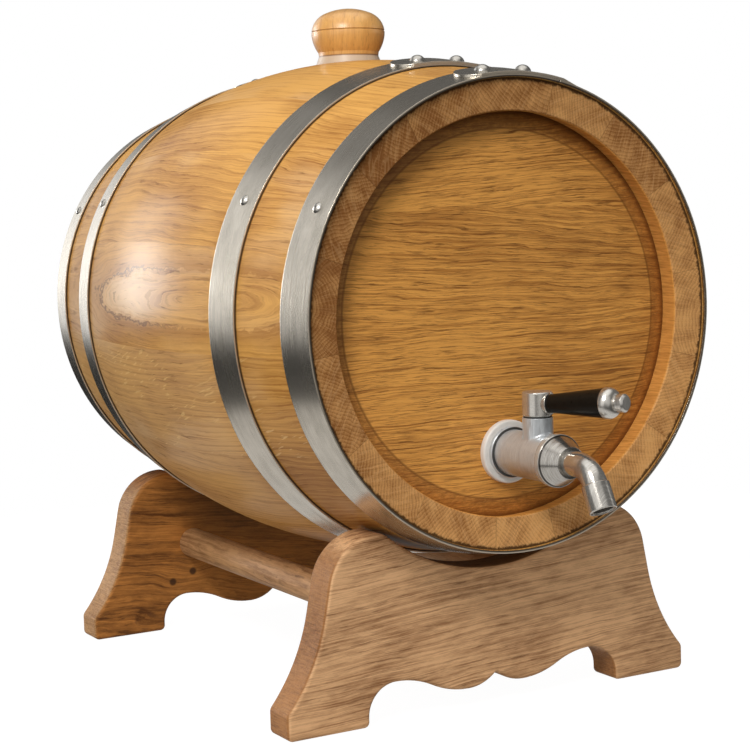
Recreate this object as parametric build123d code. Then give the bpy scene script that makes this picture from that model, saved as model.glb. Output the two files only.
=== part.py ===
from build123d import *
import math
import os

# Small oak barrel with a lever tap, lying in a cradle of two boards and two dowels.
# Millimetres. The floor under the feet is Z = 0, the bung stands up (+Z) and the tap faces -Y.
# Each piece is made about the middle of the barrel and moved at the end.
# Angles round the barrel are clockwise from the top, seen from the tap end.

# Barrel shell
belly_radius = 138.0
stave_half = 166.7
stave_straight = 86.7
stave_taper = 8.5
stave_thickness = 17.5
rim_edge = 0.9
stave_widths = (25, 20, 24, 25, 23, 23, 23, 20, 18, 25, 25, 25, 24, 23, 18, 19)
first_joint = -13.0

# Heads, each of boards pinned edge to edge, in a groove of the staves
head_recess = 12.7
head_thickness = 14.0
head_outer_bevel = 9.7
tongue_thickness = 4.5
tongue_setback = 2.2
groove_depth = 4.0
groove_clearance = 0.05
head_inner_bevel = 9.0
head_board_count = 4
head_pin_radius = 3.0
head_pin_length = 24.0
head_pin_spread = 45.0

# Steel hoops, each a strip with its ends lapped and riveted at the top
hoop_thickness = 1.4
hoop_clearance = 0.05
head_hoop_overhang = 1.8
head_hoop_width = 22.5
quarter_hoop_setback = 71.3
quarter_hoop_width = 21.7
lap_half = 27.0
lap_clearance = 0.05
lap_step = 2.0
lap_ramp = 11.0
lap_slit = 0.6
tongue_tip_radius = 12.5
rivet_offset = 12.0
rivet_head_radius = 4.2
rivet_head_height = 2.8
rivet_shank_radius = 2.0
nail_angle = 62.0
nail_head_radius = 2.8
nail_head_height = 1.5
nail_shank_radius = 1.0
nail_depth = 9.0
pin_clearance = 0.03

# Bung, turned in one piece, and its hole
bung_seat_radius = 20.0
bung_seat_margin = 0.1
bung_hole_radius = 14.0
bung_taper = 3.0
bung_clearance = 0.3
bung_plug_length = 26.0
bung_skirt_radius = 18.8
bung_skirt_height = 4.6
bung_shoulder_radius = 17.0
bung_neck_height = 6.8
bung_neck_radius = 17.3
bung_knob_radius = 20.8
bung_knob_height = 15.6
bung_crown_radius = 13.7
bung_crown_drop = 2.9
bung_height = 31.5
bung_line_height = 18.8
bung_line_depth = 0.4
bung_line_width = 0.7

# Cradle
board_thickness = 21.5
board_edge = 2.0
cradle_height = 98.5
cradle_setback = 37.2
seat_angle = 30.9
seat_clearance = 0.3
lip_radius = 10.0
saddle_gap = 5.6
shoulder_radius = 28.4
side_lean = 11.3
side_length = 16.9
foot_outer = 123.5
foot_inner = 77.0
foot_height = 13.0
foot_corner = 3.0
ankle_corner = 4.0
cove_radius = 16.0
arch_height = 21.0
lobe_middle = 17.0
lobe_height = 10.4
notch_height = 17.1
notch_corner = 1.5
dowel_radius = 9.0
dowel_spread = 56.3
dowel_height = 53.2
dowel_socket = 12.0
dowel_clearance = 0.05

# Tap, in the lowest board of the head. Reaches are measured outwards from the face of the front head.
tap_below_joint = 16.2
washer_radius = 16.3
washer_thickness = 3.4
washer_edge = 1.2
shank_radius = 8.3
shank_clearance = 0.2
flange_radius = 13.2
flange_thickness = 2.2
tap_body_radius = 11.7
tap_body_reach = 41.5
spigot_radius = 9.0
spigot_length = 7.5
waterway_radius = 4.0
neck_setback = 13.5
neck_radius = 7.7
neck_height = 20.1
neck_root = 1.5
tap_edge = 0.5
inner_washer_radius = 14.5
inner_washer_thickness = 2.5
lock_nut_width = 24.0
lock_nut_thickness = 8.0
shank_spare = 6.0
thread_clearance = 0.05

# Spout
nut_gap = 0.8
nut_collar_radius = 13.2
nut_collar_length = 4.2
nut_cone_radius = 12.5
nut_nose_radius = 7.9
nut_length = 13.4
seal_thickness = 1.0
spout_radius = 6.2
spout_wall = 1.0
spout_flange_radius = 8.4
spout_flange_thickness = 2.2
spout_straight = 11.5
spout_bend_radius = 15.0
spout_bend_angle = 62.5
spout_end = 13.0
nozzle_radius = 6.95
nozzle_overhang = 0.6
nozzle_edge = 0.4

# Valve plug under the lever
plug_radius = 6.0
plug_clearance = 0.05
plug_below = 8.8
plug_above = 14.2
plug_floor = 0.3
spindle_radius = 4.0
o_ring_section = 0.8
o_ring_heights = (6.6, 10.6)
clip_thickness = 1.0
clip_depth = 0.8
clip_gap = 3.0
clip_lift = 0.2

# Lever. Reaches are measured from the plug's axis.
lever_angle = 70.0
lever_tilt = 3.2
lever_washer_thickness = 0.6
lever_washer_gap = 0.1
hub_radius = 7.65
hub_height = 12.2
hub_edge = 0.5
spindle_cover = 3.0
lever_rod_radius = 2.2
lever_rod_start = 4.6
ferrule_radius = 5.4
ferrule_reach = 8.0
grip_start_radius = 4.65
grip_end_radius = 7.4
grip_edge = 0.6
cap_rim_radius = 7.75
cap_rim_length = 1.4
cap_bell_length = 4.9
cap_neck_radius = 3.5
cap_neck_reach = 47.0
button_radius = 4.5
button_edge = 1.0
button_length = 5.3
rod_in_cap = 6.0
set_screw_radius = 1.5

taper = math.radians(stave_taper)
belly_half = stave_half - stave_straight
head_face = stave_half - head_recess
front_face = -head_face
cradle_reach = stave_half - cradle_setback
neck_reach = tap_body_reach - neck_setback
grip_reach = cap_neck_reach - cap_bell_length - cap_rim_length
lever_reach = cap_neck_reach + button_length


def shell_radius(y):
    """Outside radius of the staves at a distance y along the axis: a bowed middle and straight ends."""
    distance = abs(y)
    bow_radius = belly_half / math.sin(taper)
    if distance <= belly_half:
        return belly_radius - bow_radius + math.sqrt(bow_radius**2 - distance**2)
    bow_drop = belly_half * math.tan(taper / 2)
    return belly_radius - bow_drop - (distance - belly_half) * math.tan(taper)


groove_outer = head_face - tongue_setback + groove_clearance
groove_inner = groove_outer - tongue_thickness - 2 * groove_clearance
groove_floor = shell_radius(groove_outer) - stave_thickness + groove_depth
head_wall = shell_radius(head_face - tongue_setback) - stave_thickness - groove_clearance
head_flat_radius = head_wall - head_outer_bevel
tongue_radius = groove_floor - groove_clearance
head_joints = []
for number in range(1, head_board_count):
    head_joints.append(tongue_radius * (2 * number / head_board_count - 1))

# The barrel rests on the rounded lips of the boards, so the cradle sets the height of its axis.
seat_radius = shell_radius(cradle_reach - board_thickness / 2 + board_edge) + seat_clearance
lip_x = (seat_radius + lip_radius) * math.sin(math.radians(seat_angle))
lip_z = cradle_height - lip_radius
axis_height = lip_z + (seat_radius + lip_radius) * math.cos(math.radians(seat_angle))
tap_height = axis_height + head_joints[0] - tap_below_joint
barrel_axis = Axis((0, 0, axis_height), (0, 1, 0))
radial_plane = Plane(origin=(0, 0, axis_height), x_dir=(0, 1, 0), z_dir=(1, 0, 0))
tap_axis = Axis((0, front_face, tap_height), (0, -1, 0))
tap_plane = Plane(origin=(0, front_face, tap_height), x_dir=(0, -1, 0), z_dir=(-1, 0, 0))
plug_axis = Axis((0, front_face - neck_reach, tap_height), (0, 0, 1))
plug_plane = Plane(origin=(0, front_face - neck_reach, tap_height), x_dir=(1, 0, 0), z_dir=(0, -1, 0))
from_below = (Align.CENTER, Align.CENTER, Align.MIN)


def shell_place(y, angle, lift):
    """Where a fastener sits on the shell: its Z axis points straight out of the surface."""
    turn = math.radians(angle)
    lean = math.copysign(math.sin(taper), y)
    outwards = Vector(math.cos(taper) * math.sin(turn), lean, math.cos(taper) * math.cos(turn))
    radius = shell_radius(y)
    foot = Vector(radius * math.sin(turn), y, axis_height + radius * math.cos(turn))
    return Plane(origin=foot + outwards * lift, z_dir=outwards).location


def turned(profile_lines, plane, axis):
    """A full turn of a closed outline about an axis in its plane."""
    return revolve(plane * make_face(profile_lines), axis, 360)


def ring(plane, axis, start, end, inner, outer):
    """A plain ring or sleeve from one reach to another."""
    corners = [(start, inner), (end, inner), (end, outer), (start, outer)]
    return turned(Polyline(corners, close=True), plane, axis)


def dome_pin(head_radius, head_height, shank, length):
    """Domed fastener with its head above Z = 0 and its shank below."""
    dome = TangentArc((0, head_height), (head_radius, 0), tangent=(1, 0))
    under = Polyline((head_radius, 0), (shank, 0), (shank, -length), (0, -length), (0, head_height))
    return revolve(Plane.XZ * make_face(dome + under), Axis.Z, 360)


# Staves
bung_seat_depth = bung_seat_margin + belly_radius - math.sqrt(belly_radius**2 - bung_seat_radius**2)
bung_top = axis_height + belly_radius - bung_seat_depth


def stave_profile():
    """Lengthwise section of a stave: bowed, with square-cut ends and a groove for each head."""
    end_radius = shell_radius(stave_half)
    bow_end = shell_radius(belly_half)
    chime_setback = stave_thickness * math.sin(taper) * math.cos(taper)
    chime_drop = stave_thickness * math.cos(taper) ** 2
    rim_y = stave_half - chime_setback
    rim_radius = end_radius - chime_drop
    inside = [
        (stave_half, end_radius),
        (rim_y + rim_edge * math.sin(taper), rim_radius + rim_edge * math.cos(taper)),
        (rim_y - rim_edge * math.cos(taper), rim_radius + rim_edge * math.sin(taper)),
        (groove_outer, shell_radius(groove_outer) - stave_thickness),
        (groove_outer, groove_floor),
        (groove_inner, groove_floor),
        (groove_inner, shell_radius(groove_inner) - stave_thickness),
        (belly_half, bow_end - stave_thickness),
    ]
    lines = ThreePointArc((-belly_half, bow_end), (0, belly_radius), (belly_half, bow_end))
    lines += ThreePointArc(
        (-belly_half, bow_end - stave_thickness),
        (0, belly_radius - stave_thickness),
        (belly_half, bow_end - stave_thickness),
    )
    lines += Polyline((belly_half, bow_end), *inside)
    lines += Polyline((-belly_half, bow_end), *[(-y, radius) for y, radius in inside])
    return radial_plane * make_face(lines)


def bung_hole():
    """Tapered hole through the top stave, with a flat seat cut round it."""
    depth = bung_seat_depth + stave_thickness
    shrink = depth * math.tan(math.radians(bung_taper))
    hole = Pos(0, 0, bung_top - depth) * Cone(
        bung_hole_radius - shrink, bung_hole_radius, depth, align=from_below
    )
    seat = Pos(0, 0, bung_top) * Cylinder(bung_seat_radius, 2 * bung_seat_depth, align=from_below)
    return hole + seat


head_hoop_middle = stave_half + head_hoop_overhang - head_hoop_width / 2
quarter_hoop_middle = stave_half - quarter_hoop_setback
hoop_middles = {
    "front_head_hoop": -head_hoop_middle,
    "front_quarter_hoop": -quarter_hoop_middle,
    "rear_quarter_hoop": quarter_hoop_middle,
    "rear_head_hoop": head_hoop_middle,
}
nail_lift = hoop_clearance + hoop_thickness
nail_places = {}
for angle in (-nail_angle, nail_angle):
    nail_places[angle] = [shell_place(middle, angle, nail_lift) for middle in hoop_middles.values()]
nail_hole = Cylinder(nail_shank_radius + pin_clearance, 2 * (nail_depth + pin_clearance))

nodes = {}
joint_angle = first_joint
section = stave_profile()
for number, width in enumerate(stave_widths):
    share = 360 * width / sum(stave_widths)
    stave = revolve(section, barrel_axis, share).rotate(barrel_axis, joint_angle)
    if number == 0:
        stave -= bung_hole()
    for angle, places in nail_places.items():
        from_middle = (angle - joint_angle - share / 2 + 180) % 360 - 180
        if abs(from_middle) < share / 2 + 1:
            stave -= [place * nail_hole for place in places]
    nodes["bung_stave" if number == 0 else f"stave_{number + 1:02d}"] = stave
    joint_angle += share


# Heads
def head_disc():
    """Front head in one piece: a flat disc, bevelled on both sides to the tongue in the groove."""
    inside = front_face + head_thickness
    outer_edge = -(head_face - tongue_setback)
    inner_edge = outer_edge + tongue_thickness
    wall_inner = shell_radius(groove_inner) - stave_thickness - groove_clearance
    outline = [
        (front_face, 0),
        (front_face, head_flat_radius),
        (outer_edge, head_wall),
        (outer_edge, tongue_radius),
        (inner_edge, tongue_radius),
        (inner_edge, wall_inner),
        (inside, wall_inner - head_inner_bevel),
        (inside, 0),
    ]
    return turned(Polyline(outline, close=True), radial_plane, barrel_axis)


def head_pins():
    """Wooden pins across each joint between head boards."""
    pin_middle = front_face + head_thickness / 2
    pins = []
    for height in head_joints:
        for x in (-head_pin_spread, head_pin_spread):
            pins.append(Pos(x, pin_middle, axis_height + height))
    return pins


def head_boards(disc):
    """The disc cut into level boards, drilled for the pins."""
    reach = belly_radius
    limits = [-reach, *head_joints, reach]
    pin_hole = Cylinder(head_pin_radius + pin_clearance, head_pin_length + 2 * pin_clearance)
    boards = []
    for low, high in zip(limits, limits[1:]):
        slab = Box(2 * reach, 2 * head_thickness, high - low)
        board = disc & Pos(0, front_face, axis_height + (low + high) / 2) * slab
        boards.append(board - [place * pin_hole for place in head_pins()])
    return boards


tap_hole = ring(tap_plane, tap_axis, -2 * head_thickness, head_thickness, 0, shank_radius + shank_clearance)
pins = Compound(children=[place * Cylinder(head_pin_radius, head_pin_length) for place in head_pins()])
for number, board in enumerate(head_boards(head_disc())):
    name = f"head_board_{number + 1}"
    nodes[f"rear_{name}"] = mirror(board, Plane.XZ)
    nodes[f"front_{name}"] = board - tap_hole if number == 0 else board
nodes["front_head_pins"] = pins
nodes["rear_head_pins"] = mirror(pins, Plane.XZ)


# Hoops
def hoop_section(middle, width, low, high, angle):
    """Section of a conical band on the shell, between two heights above the staves."""
    edges = (middle - width / 2, middle + width / 2)
    corners = [(y, shell_radius(y) + hoop_clearance + low) for y in edges]
    corners += [(y, shell_radius(y) + hoop_clearance + high) for y in reversed(edges)]
    face = radial_plane * make_face(Polyline(corners, close=True))
    return face.rotate(barrel_axis, angle)


def hoop_band(middle, width, lift, thickness, start, sweep):
    """Part of a conical band on the shell, from one angle round to another."""
    return revolve(hoop_section(middle, width, lift, lift + thickness, start), barrel_axis, sweep)


def hoop_strip(middle, width):
    """One strip bent round the shell: it steps up at the right and its tongue laps over the start."""
    per_mm = math.degrees(1 / shell_radius(middle))
    lap = lap_half * per_mm
    slit = lap_slit * per_mm
    step = lap_step * per_mm
    lap_lift = hoop_thickness + lap_clearance
    strip = hoop_band(middle, width, 0, hoop_thickness, lap + slit, 360 - slit)
    strip += hoop_band(middle, width, 0, hoop_thickness + lap_lift, lap + slit, step)
    ramp_start = lap + slit + step
    ramp_end = ramp_start + lap_ramp * per_mm
    high_end = hoop_section(middle, width, hoop_thickness / 2, hoop_thickness + lap_lift, ramp_start)
    low_end = hoop_section(middle, width, hoop_thickness / 2, 0.8 * hoop_thickness, ramp_end)
    strip += loft([high_end, low_end], ruled=True)
    tongue = hoop_band(middle, width, lap_lift, hoop_thickness, -lap, 2 * lap + slit + step)
    tip = tongue_tip_radius - shell_radius(middle) * math.sin(math.radians(lap))
    plan = Pos(tip, middle) * Circle(tongue_tip_radius)
    plan += Pos(tip + belly_radius / 2, middle) * Rectangle(belly_radius, 2 * tongue_tip_radius)
    return strip + (tongue & extrude(plan, 2 * axis_height))


rivet_length = 2 * hoop_thickness + lap_clearance
rivets = []
for name, middle in hoop_middles.items():
    width = head_hoop_width if "head" in name else quarter_hoop_width
    hoop = hoop_strip(middle, width)
    rivet_turn = math.degrees(rivet_offset / shell_radius(middle))
    for angle in (-rivet_turn, rivet_turn):
        place = shell_place(middle, angle, hoop_clearance + rivet_length)
        hoop -= place * Cylinder(rivet_shank_radius + pin_clearance, 3 * rivet_length)
        rivets.append(place * dome_pin(rivet_head_radius, rivet_head_height, rivet_shank_radius, rivet_length))
    for places in nail_places.values():
        hoop -= [place * nail_hole for place in places]
    nodes[name] = hoop

nodes["hoop_rivets"] = Compound(children=rivets)
nail = dome_pin(nail_head_radius, nail_head_height, nail_shank_radius, nail_depth)
nodes["hoop_nails"] = Compound(children=[place * nail for places in nail_places.values() for place in places])


# Bung
def bung():
    """Turned stopper: a tapered plug, a flared skirt on the seat, a neck and a rounded knob."""
    seat = bung_top + bung_clearance
    plug_top = bung_hole_radius - bung_clearance
    plug_end = plug_top - bung_plug_length * math.tan(math.radians(bung_taper))
    top = seat + bung_height
    crown = TangentArc((0, top), (bung_crown_radius, top - bung_crown_drop), tangent=(1, 0))
    cheek = TangentArc(crown @ 1, (bung_knob_radius, seat + bung_knob_height), tangent=crown % 1)
    chin = TangentArc(cheek @ 1, (bung_neck_radius, seat + bung_neck_height), tangent=cheek % 1)
    lower = Polyline(
        (bung_neck_radius, seat + bung_neck_height),
        (bung_shoulder_radius, seat + bung_skirt_height),
        (bung_skirt_radius, seat),
        (plug_top, seat),
        (plug_end, seat - bung_plug_length),
        (0, seat - bung_plug_length),
        (0, top),
    )
    body = revolve(Plane.XZ * make_face(crown + cheek + chin + lower), Axis.Z, 360)
    line = seat + bung_line_height
    groove = Polyline(
        (bung_knob_radius - bung_line_depth, line),
        (bung_knob_radius + bung_line_depth, line + bung_line_width),
        (bung_knob_radius + bung_line_depth, line - bung_line_width),
        close=True,
    )
    return body - revolve(Plane.XZ * make_face(groove), Axis.Z, 360)


nodes["bung"] = bung()


# Cradle
def board_outline():
    """Front outline of a cradle board: feet, arched lower edge, leaning sides and a saddle."""
    crest = (lip_x, cradle_height)
    saddle_low = axis_height - seat_radius - saddle_gap
    below = lip_radius - saddle_low
    saddle_z = (lip_x**2 + lip_z**2 - below**2) / (2 * (lip_z + below))
    share = (saddle_z - saddle_low) / (saddle_z + below)
    saddle_end = (lip_x * share, saddle_z + (lip_z - saddle_z) * share)
    lean = math.radians(side_lean)
    down = Vector(math.sin(lean), -math.cos(lean))
    shoulder = Vector(lip_x, crest[1] - shoulder_radius)
    side_top = shoulder + Vector(math.cos(lean), math.sin(lean)) * shoulder_radius
    side_end = side_top + down * side_length
    cove = (foot_inner - cove_radius, arch_height)
    lobe = (lobe_middle, lobe_height)
    swing = ((cove[0] + lobe[0]) / 2, (cove[1] + lobe[1]) / 2)
    half = TangentArc(lobe, (0, notch_height), tangent=(-1, 0))
    half += TangentArc(lobe, swing, tangent=(1, 0))
    half += TangentArc(cove, swing, tangent=(-1, 0))
    half += TangentArc(cove, (foot_inner, arch_height - cove_radius), tangent=(1, 0))
    half += Polyline(
        (foot_inner, arch_height - cove_radius),
        (foot_inner, 0),
        (foot_outer, 0),
        (foot_outer, foot_height),
    )
    half += TangentArc(side_end, (foot_outer, foot_height), tangent=down)
    half += Line(side_top, side_end)
    half += TangentArc(crest, side_top, tangent=(1, 0))
    half += TangentArc(crest, saddle_end, tangent=(-1, 0))
    half += TangentArc((0, saddle_low), saddle_end, tangent=(1, 0))
    return make_face(half + mirror(half, Plane.YZ))


def rounded(outline, x, y, radius):
    """The outline with its corner at (x, y), and that corner's mirror image, rounded."""
    corners = []
    for corner in outline.vertices():
        if abs(abs(corner.X) - x) < 0.01 and abs(corner.Y - y) < 0.01:
            corners.append(corner)
    return fillet(corners, radius)


def cradle_board():
    """Front board with eased edges and blind sockets for the dowels in its inner face."""
    outline = board_outline()
    outline = rounded(outline, foot_inner, 0, foot_corner)
    outline = rounded(outline, foot_outer, 0, foot_corner)
    outline = rounded(outline, foot_outer, foot_height, ankle_corner)
    outline = rounded(outline, 0, notch_height, notch_corner)
    front = Plane(origin=(0, -cradle_reach - board_thickness / 2, 0), x_dir=(1, 0, 0), z_dir=(0, -1, 0))
    board = extrude(front * outline, -board_thickness)
    faces = board.faces().sort_by(Axis.Y)
    board = fillet(faces[0].edges() + faces[-1].edges(), board_edge)
    for x in (-dowel_spread, dowel_spread):
        socket = Cylinder(dowel_radius + dowel_clearance, 2 * dowel_socket)
        board -= Pos(x, -cradle_reach + board_thickness / 2, dowel_height) * Rot(90, 0, 0) * socket
    return board


nodes["cradle_front_board"] = cradle_board()
nodes["cradle_rear_board"] = mirror(nodes["cradle_front_board"], Plane.XZ)
dowel_length = 2 * (cradle_reach - board_thickness / 2 + dowel_socket - dowel_clearance)
for side, x in (("left", -dowel_spread), ("right", dowel_spread)):
    dowel = Rot(90, 0, 0) * Cylinder(dowel_radius, dowel_length)
    nodes[f"cradle_{side}_dowel"] = Pos(x, 0, dowel_height) * dowel


# Tap body and its fixings
inside_face = -head_thickness
shank_end = inside_face - inner_washer_thickness - lock_nut_thickness - shank_spare
spigot_end = tap_body_reach + spigot_length


def tap_body():
    """Shank, flange, barrel-shaped body, upright neck and front spigot, bored for the water and plug."""
    flange_end = washer_thickness + flange_thickness
    outline = [
        (shank_end, 0),
        (shank_end, shank_radius),
        (washer_thickness, shank_radius),
        (washer_thickness, flange_radius),
        (flange_end - tap_edge, flange_radius),
        (flange_end, flange_radius - tap_edge),
        (flange_end, tap_body_radius),
        (tap_body_reach - tap_edge, tap_body_radius),
        (tap_body_reach, tap_body_radius - tap_edge),
        (tap_body_reach, spigot_radius),
        (spigot_end, spigot_radius),
        (spigot_end, 0),
    ]
    trunk = turned(Polyline(outline, close=True), tap_plane, tap_axis)
    neck = ring_up(0, neck_height, 0, neck_radius)
    body = trunk + neck
    body = fillet(new_edges(trunk, neck, combined=body), neck_root)
    body -= ring(tap_plane, tap_axis, shank_end, spigot_end, 0, waterway_radius)
    chamber = plug_radius + plug_clearance
    body -= ring_up(-plug_below - plug_floor, neck_height, 0, chamber)
    clip_low = plug_above + clip_lift
    body -= ring_up(clip_low, clip_low + clip_thickness + 2 * pin_clearance, 0, chamber + clip_depth)
    return body


def ring_up(low, high, inner, outer):
    """A ring about the plug's axis, between two heights above the water way."""
    corners = [(inner, low), (outer, low), (outer, high), (inner, high)]
    return turned(Polyline(corners, close=True), plug_plane, plug_axis)


def outer_washer():
    """Soft white washer between the flange and the head, rounded at its front edge."""
    washer = ring(tap_plane, tap_axis, 0, washer_thickness, shank_radius + shank_clearance, washer_radius)
    front = washer.edges().sort_by(Axis.Y)[0:2].sort_by(SortBy.LENGTH)[-1]
    return fillet(front, washer_edge)


def lock_nut():
    """Hexagon nut on the shank, inside the barrel."""
    nut_face = inside_face - inner_washer_thickness
    start = Plane(origin=(0, front_face - nut_face, tap_height), x_dir=(1, 0, 0), z_dir=(0, 1, 0))
    hexagon = RegularPolygon(lock_nut_width / 2, 6, major_radius=False)
    bore = Circle(shank_radius + thread_clearance)
    return extrude(start * (hexagon - bore), lock_nut_thickness)


nodes["tap_body"] = tap_body()
nodes["tap_outer_washer"] = outer_washer()
nodes["tap_inner_washer"] = ring(
    tap_plane,
    tap_axis,
    inside_face - inner_washer_thickness,
    inside_face,
    shank_radius + shank_clearance,
    inner_washer_radius,
)
nodes["tap_lock_nut"] = lock_nut()

# Spout
nut_start = tap_body_reach + nut_gap
nut_end = nut_start + nut_length
seal_end = spigot_end + seal_thickness
spout_start = seal_end
flange_end = spout_start + spout_flange_thickness
spout_bore = spout_radius - spout_wall


def spout_nut():
    """Collar and cone that hold the spout against the front of the tap body."""
    collar_end = nut_start + nut_collar_length
    thread = spigot_radius + thread_clearance
    outline = [
        (nut_start, thread),
        (nut_start, nut_collar_radius - tap_edge),
        (nut_start + tap_edge, nut_collar_radius),
        (collar_end - tap_edge, nut_collar_radius),
        (collar_end, nut_collar_radius - tap_edge),
        (collar_end, nut_cone_radius),
        (nut_end, nut_nose_radius),
        (nut_end, spout_radius + thread_clearance),
        (flange_end + thread_clearance, spout_radius + thread_clearance),
        (flange_end + thread_clearance, thread),
    ]
    return turned(Polyline(outline, close=True), tap_plane, tap_axis)


def spout_path(skip):
    """Middle line of the spout: straight out, one bend down, and a short straight end."""
    bend_start = spout_start + spout_straight
    out = Line((spout_start, 0), (bend_start, 0))
    bend = JernArc(out @ 1, (1, 0), spout_bend_radius, -spout_bend_angle)
    end = Line(bend @ 1, (bend @ 1) + (bend % 1) * spout_end)
    if skip:
        return end
    return out + bend + end


def spout_sweep(radius, path):
    """A round bar along a path in the tap's middle plane."""
    placed = tap_plane * path
    start = Plane(origin=placed @ 0, z_dir=placed % 0)
    return sweep(start * Circle(radius), path=placed)


def spout_tube():
    """Bent tube with a flange that the nut pulls on to the seal."""
    path = spout_path(False)
    tube = spout_sweep(spout_radius, path)
    tube += ring(tap_plane, tap_axis, spout_start, flange_end, 0, spout_flange_radius)
    return tube - spout_sweep(spout_bore, path)


def spout_nozzle():
    """Sleeve round the lower end of the spout, a little longer than the tube."""
    end = tap_plane * spout_path(True)
    start = Plane(origin=end @ 0, z_dir=end % 0)
    length = spout_end + nozzle_overhang
    sleeve = Circle(nozzle_radius) - Circle(spout_radius + thread_clearance)
    nozzle = extrude(start * sleeve, length)
    rims = nozzle.edges().filter_by(lambda edge: edge.geom_type == GeomType.CIRCLE)
    return chamfer(rims.filter_by(lambda edge: edge.radius > spout_radius + 2 * thread_clearance), nozzle_edge)


nodes["spout_nut"] = spout_nut()
nodes["spout_seal"] = ring(tap_plane, tap_axis, spigot_end, seal_end, spout_bore, spout_flange_radius)
nodes["spout_tube"] = spout_tube()
nodes["spout_nozzle"] = spout_nozzle()

# Valve plug
hub_low = neck_height + lever_washer_gap + lever_washer_thickness
hub_high = hub_low + hub_height
spindle_top = hub_high - spindle_cover
lever_height = hub_low + hub_height / 2
lever_turn = math.radians(lever_angle)
lever_rise = math.radians(lever_tilt)
level_along = Vector(math.cos(lever_turn), -math.sin(lever_turn), 0)
along = level_along * math.cos(lever_rise) + Vector(0, 0, math.sin(lever_rise))
lever_foot = Vector(0, front_face - neck_reach, tap_height + lever_height)
lever_axis = Axis(lever_foot, along)
lever_plane = Plane(origin=lever_foot, x_dir=along, z_dir=along.cross(Vector(0, 0, 1)))


def tap_plug():
    """Round plug with a cross port in line with the lever, seal grooves and a spindle to the hub."""
    plug = ring_up(-plug_below, plug_above, 0, plug_radius)
    plug += ring_up(plug_above, spindle_top, 0, spindle_radius)
    floor = plug_radius - 2 * o_ring_section - plug_clearance
    for height in o_ring_heights:
        half_width = o_ring_section + plug_clearance
        plug -= ring_up(height - half_width, height + half_width, floor, 2 * plug_radius)
    port = Plane(origin=plug_axis.position, z_dir=along).location
    return plug - port * Cylinder(waterway_radius, 4 * plug_radius)


def o_rings():
    """Two seals round the plug, above the port."""
    rings = []
    for height in o_ring_heights:
        place = Location(plug_axis.position + Vector(0, 0, height))
        rings.append(place * Torus(plug_radius - o_ring_section, o_ring_section))
    return Compound(children=rings)


def plug_clip():
    """Split spring clip in the neck, which keeps the plug down."""
    low = plug_above + clip_lift + pin_clearance
    outer = plug_radius + plug_clearance + clip_depth - pin_clearance
    clip = ring_up(low, low + clip_thickness, spindle_radius + clip_depth, outer)
    split = plug_axis.position + Vector(0, plug_radius, low)
    return clip - Location(split) * Box(clip_gap, 2 * plug_radius, 4 * clip_thickness)


nodes["tap_plug"] = tap_plug()
nodes["plug_o_rings"] = o_rings()
nodes["plug_clip"] = plug_clip()


# Lever
def lever_ring(start, end, inner, outer):
    """A ring about the lever's rod."""
    return ring(lever_plane, lever_axis, start, end, inner, outer)


def lever_hub():
    """Round hub over the spindle, drilled for the rod and for the screw behind it."""
    hub = ring_up(hub_low, hub_high, 0, hub_radius)
    rims = hub.edges().filter_by(GeomType.CIRCLE)
    hub = chamfer(rims, hub_edge)
    hub -= ring_up(hub_low, spindle_top + pin_clearance, 0, spindle_radius + pin_clearance)
    hub -= lever_ring(0, 2 * hub_radius, 0, lever_rod_radius + pin_clearance)
    hub -= lever_ring(-2 * hub_radius, 0, 0, set_screw_radius + pin_clearance)
    return hub


def set_screw():
    """Grub screw at the back of the hub, tight on the spindle."""
    tip = (spindle_radius + pin_clearance) / math.cos(lever_rise) + set_screw_radius * math.tan(lever_rise)
    return lever_ring(-hub_radius + hub_edge, -tip, 0, set_screw_radius)


def ferrule():
    """Bright collar that fits the round of the hub and takes the foot of the grip."""
    collar = lever_ring(0, ferrule_reach, lever_rod_radius + pin_clearance, ferrule_radius)
    low = lever_height - 2 * ferrule_radius
    high = lever_height + 2 * ferrule_radius
    return collar - ring_up(low, high, 0, hub_radius + pin_clearance)


def grip():
    """Black handle, wider towards its outer end."""
    bore = lever_rod_radius + pin_clearance
    outline = [
        (ferrule_reach, bore),
        (grip_reach, bore),
        (grip_reach, grip_end_radius - grip_edge),
        (grip_reach - grip_edge, grip_end_radius),
        (ferrule_reach + grip_edge, grip_start_radius),
        (ferrule_reach, grip_start_radius - grip_edge),
    ]
    return turned(Polyline(outline, close=True), lever_plane, lever_axis)


def end_cap():
    """Bell-shaped cap with a short neck and a button, screwed on the end of the rod."""
    bore = lever_rod_radius + pin_clearance
    rim_end = grip_reach + cap_rim_length
    bore_end = grip_reach + rod_in_cap + pin_clearance
    bell = TangentArc((rim_end, cap_rim_radius), (cap_neck_reach, cap_neck_radius), tangent=(1, 0))
    button = Polyline(
        (cap_neck_reach, cap_neck_radius),
        (cap_neck_reach + button_edge, button_radius),
        (lever_reach - button_edge, button_radius),
        (lever_reach, button_radius - button_edge),
        (lever_reach, 0),
        (bore_end, 0),
        (bore_end, bore),
        (grip_reach, bore),
        (grip_reach, cap_rim_radius),
        (rim_end, cap_rim_radius),
    )
    return turned(bell + button, lever_plane, lever_axis)


washer_low = neck_height + lever_washer_gap
nodes["lever_washer"] = ring_up(washer_low, hub_low, spindle_radius + pin_clearance, hub_radius - hub_edge)
nodes["lever_hub"] = lever_hub()
nodes["lever_set_screw"] = set_screw()
nodes["lever_ferrule"] = ferrule()
nodes["lever_rod"] = lever_ring(lever_rod_start, grip_reach + rod_in_cap, 0, lever_rod_radius)
nodes["lever_grip"] = grip()
nodes["lever_end_cap"] = end_cap()

# The origin goes on the floor under the middle of the whole part.
front_end = min(shape.bounding_box().min.Y for shape in nodes.values())
rear_end = max(shape.bounding_box().max.Y for shape in nodes.values())
to_middle = Pos(0, -(front_end + rear_end) / 2, 0)

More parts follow.
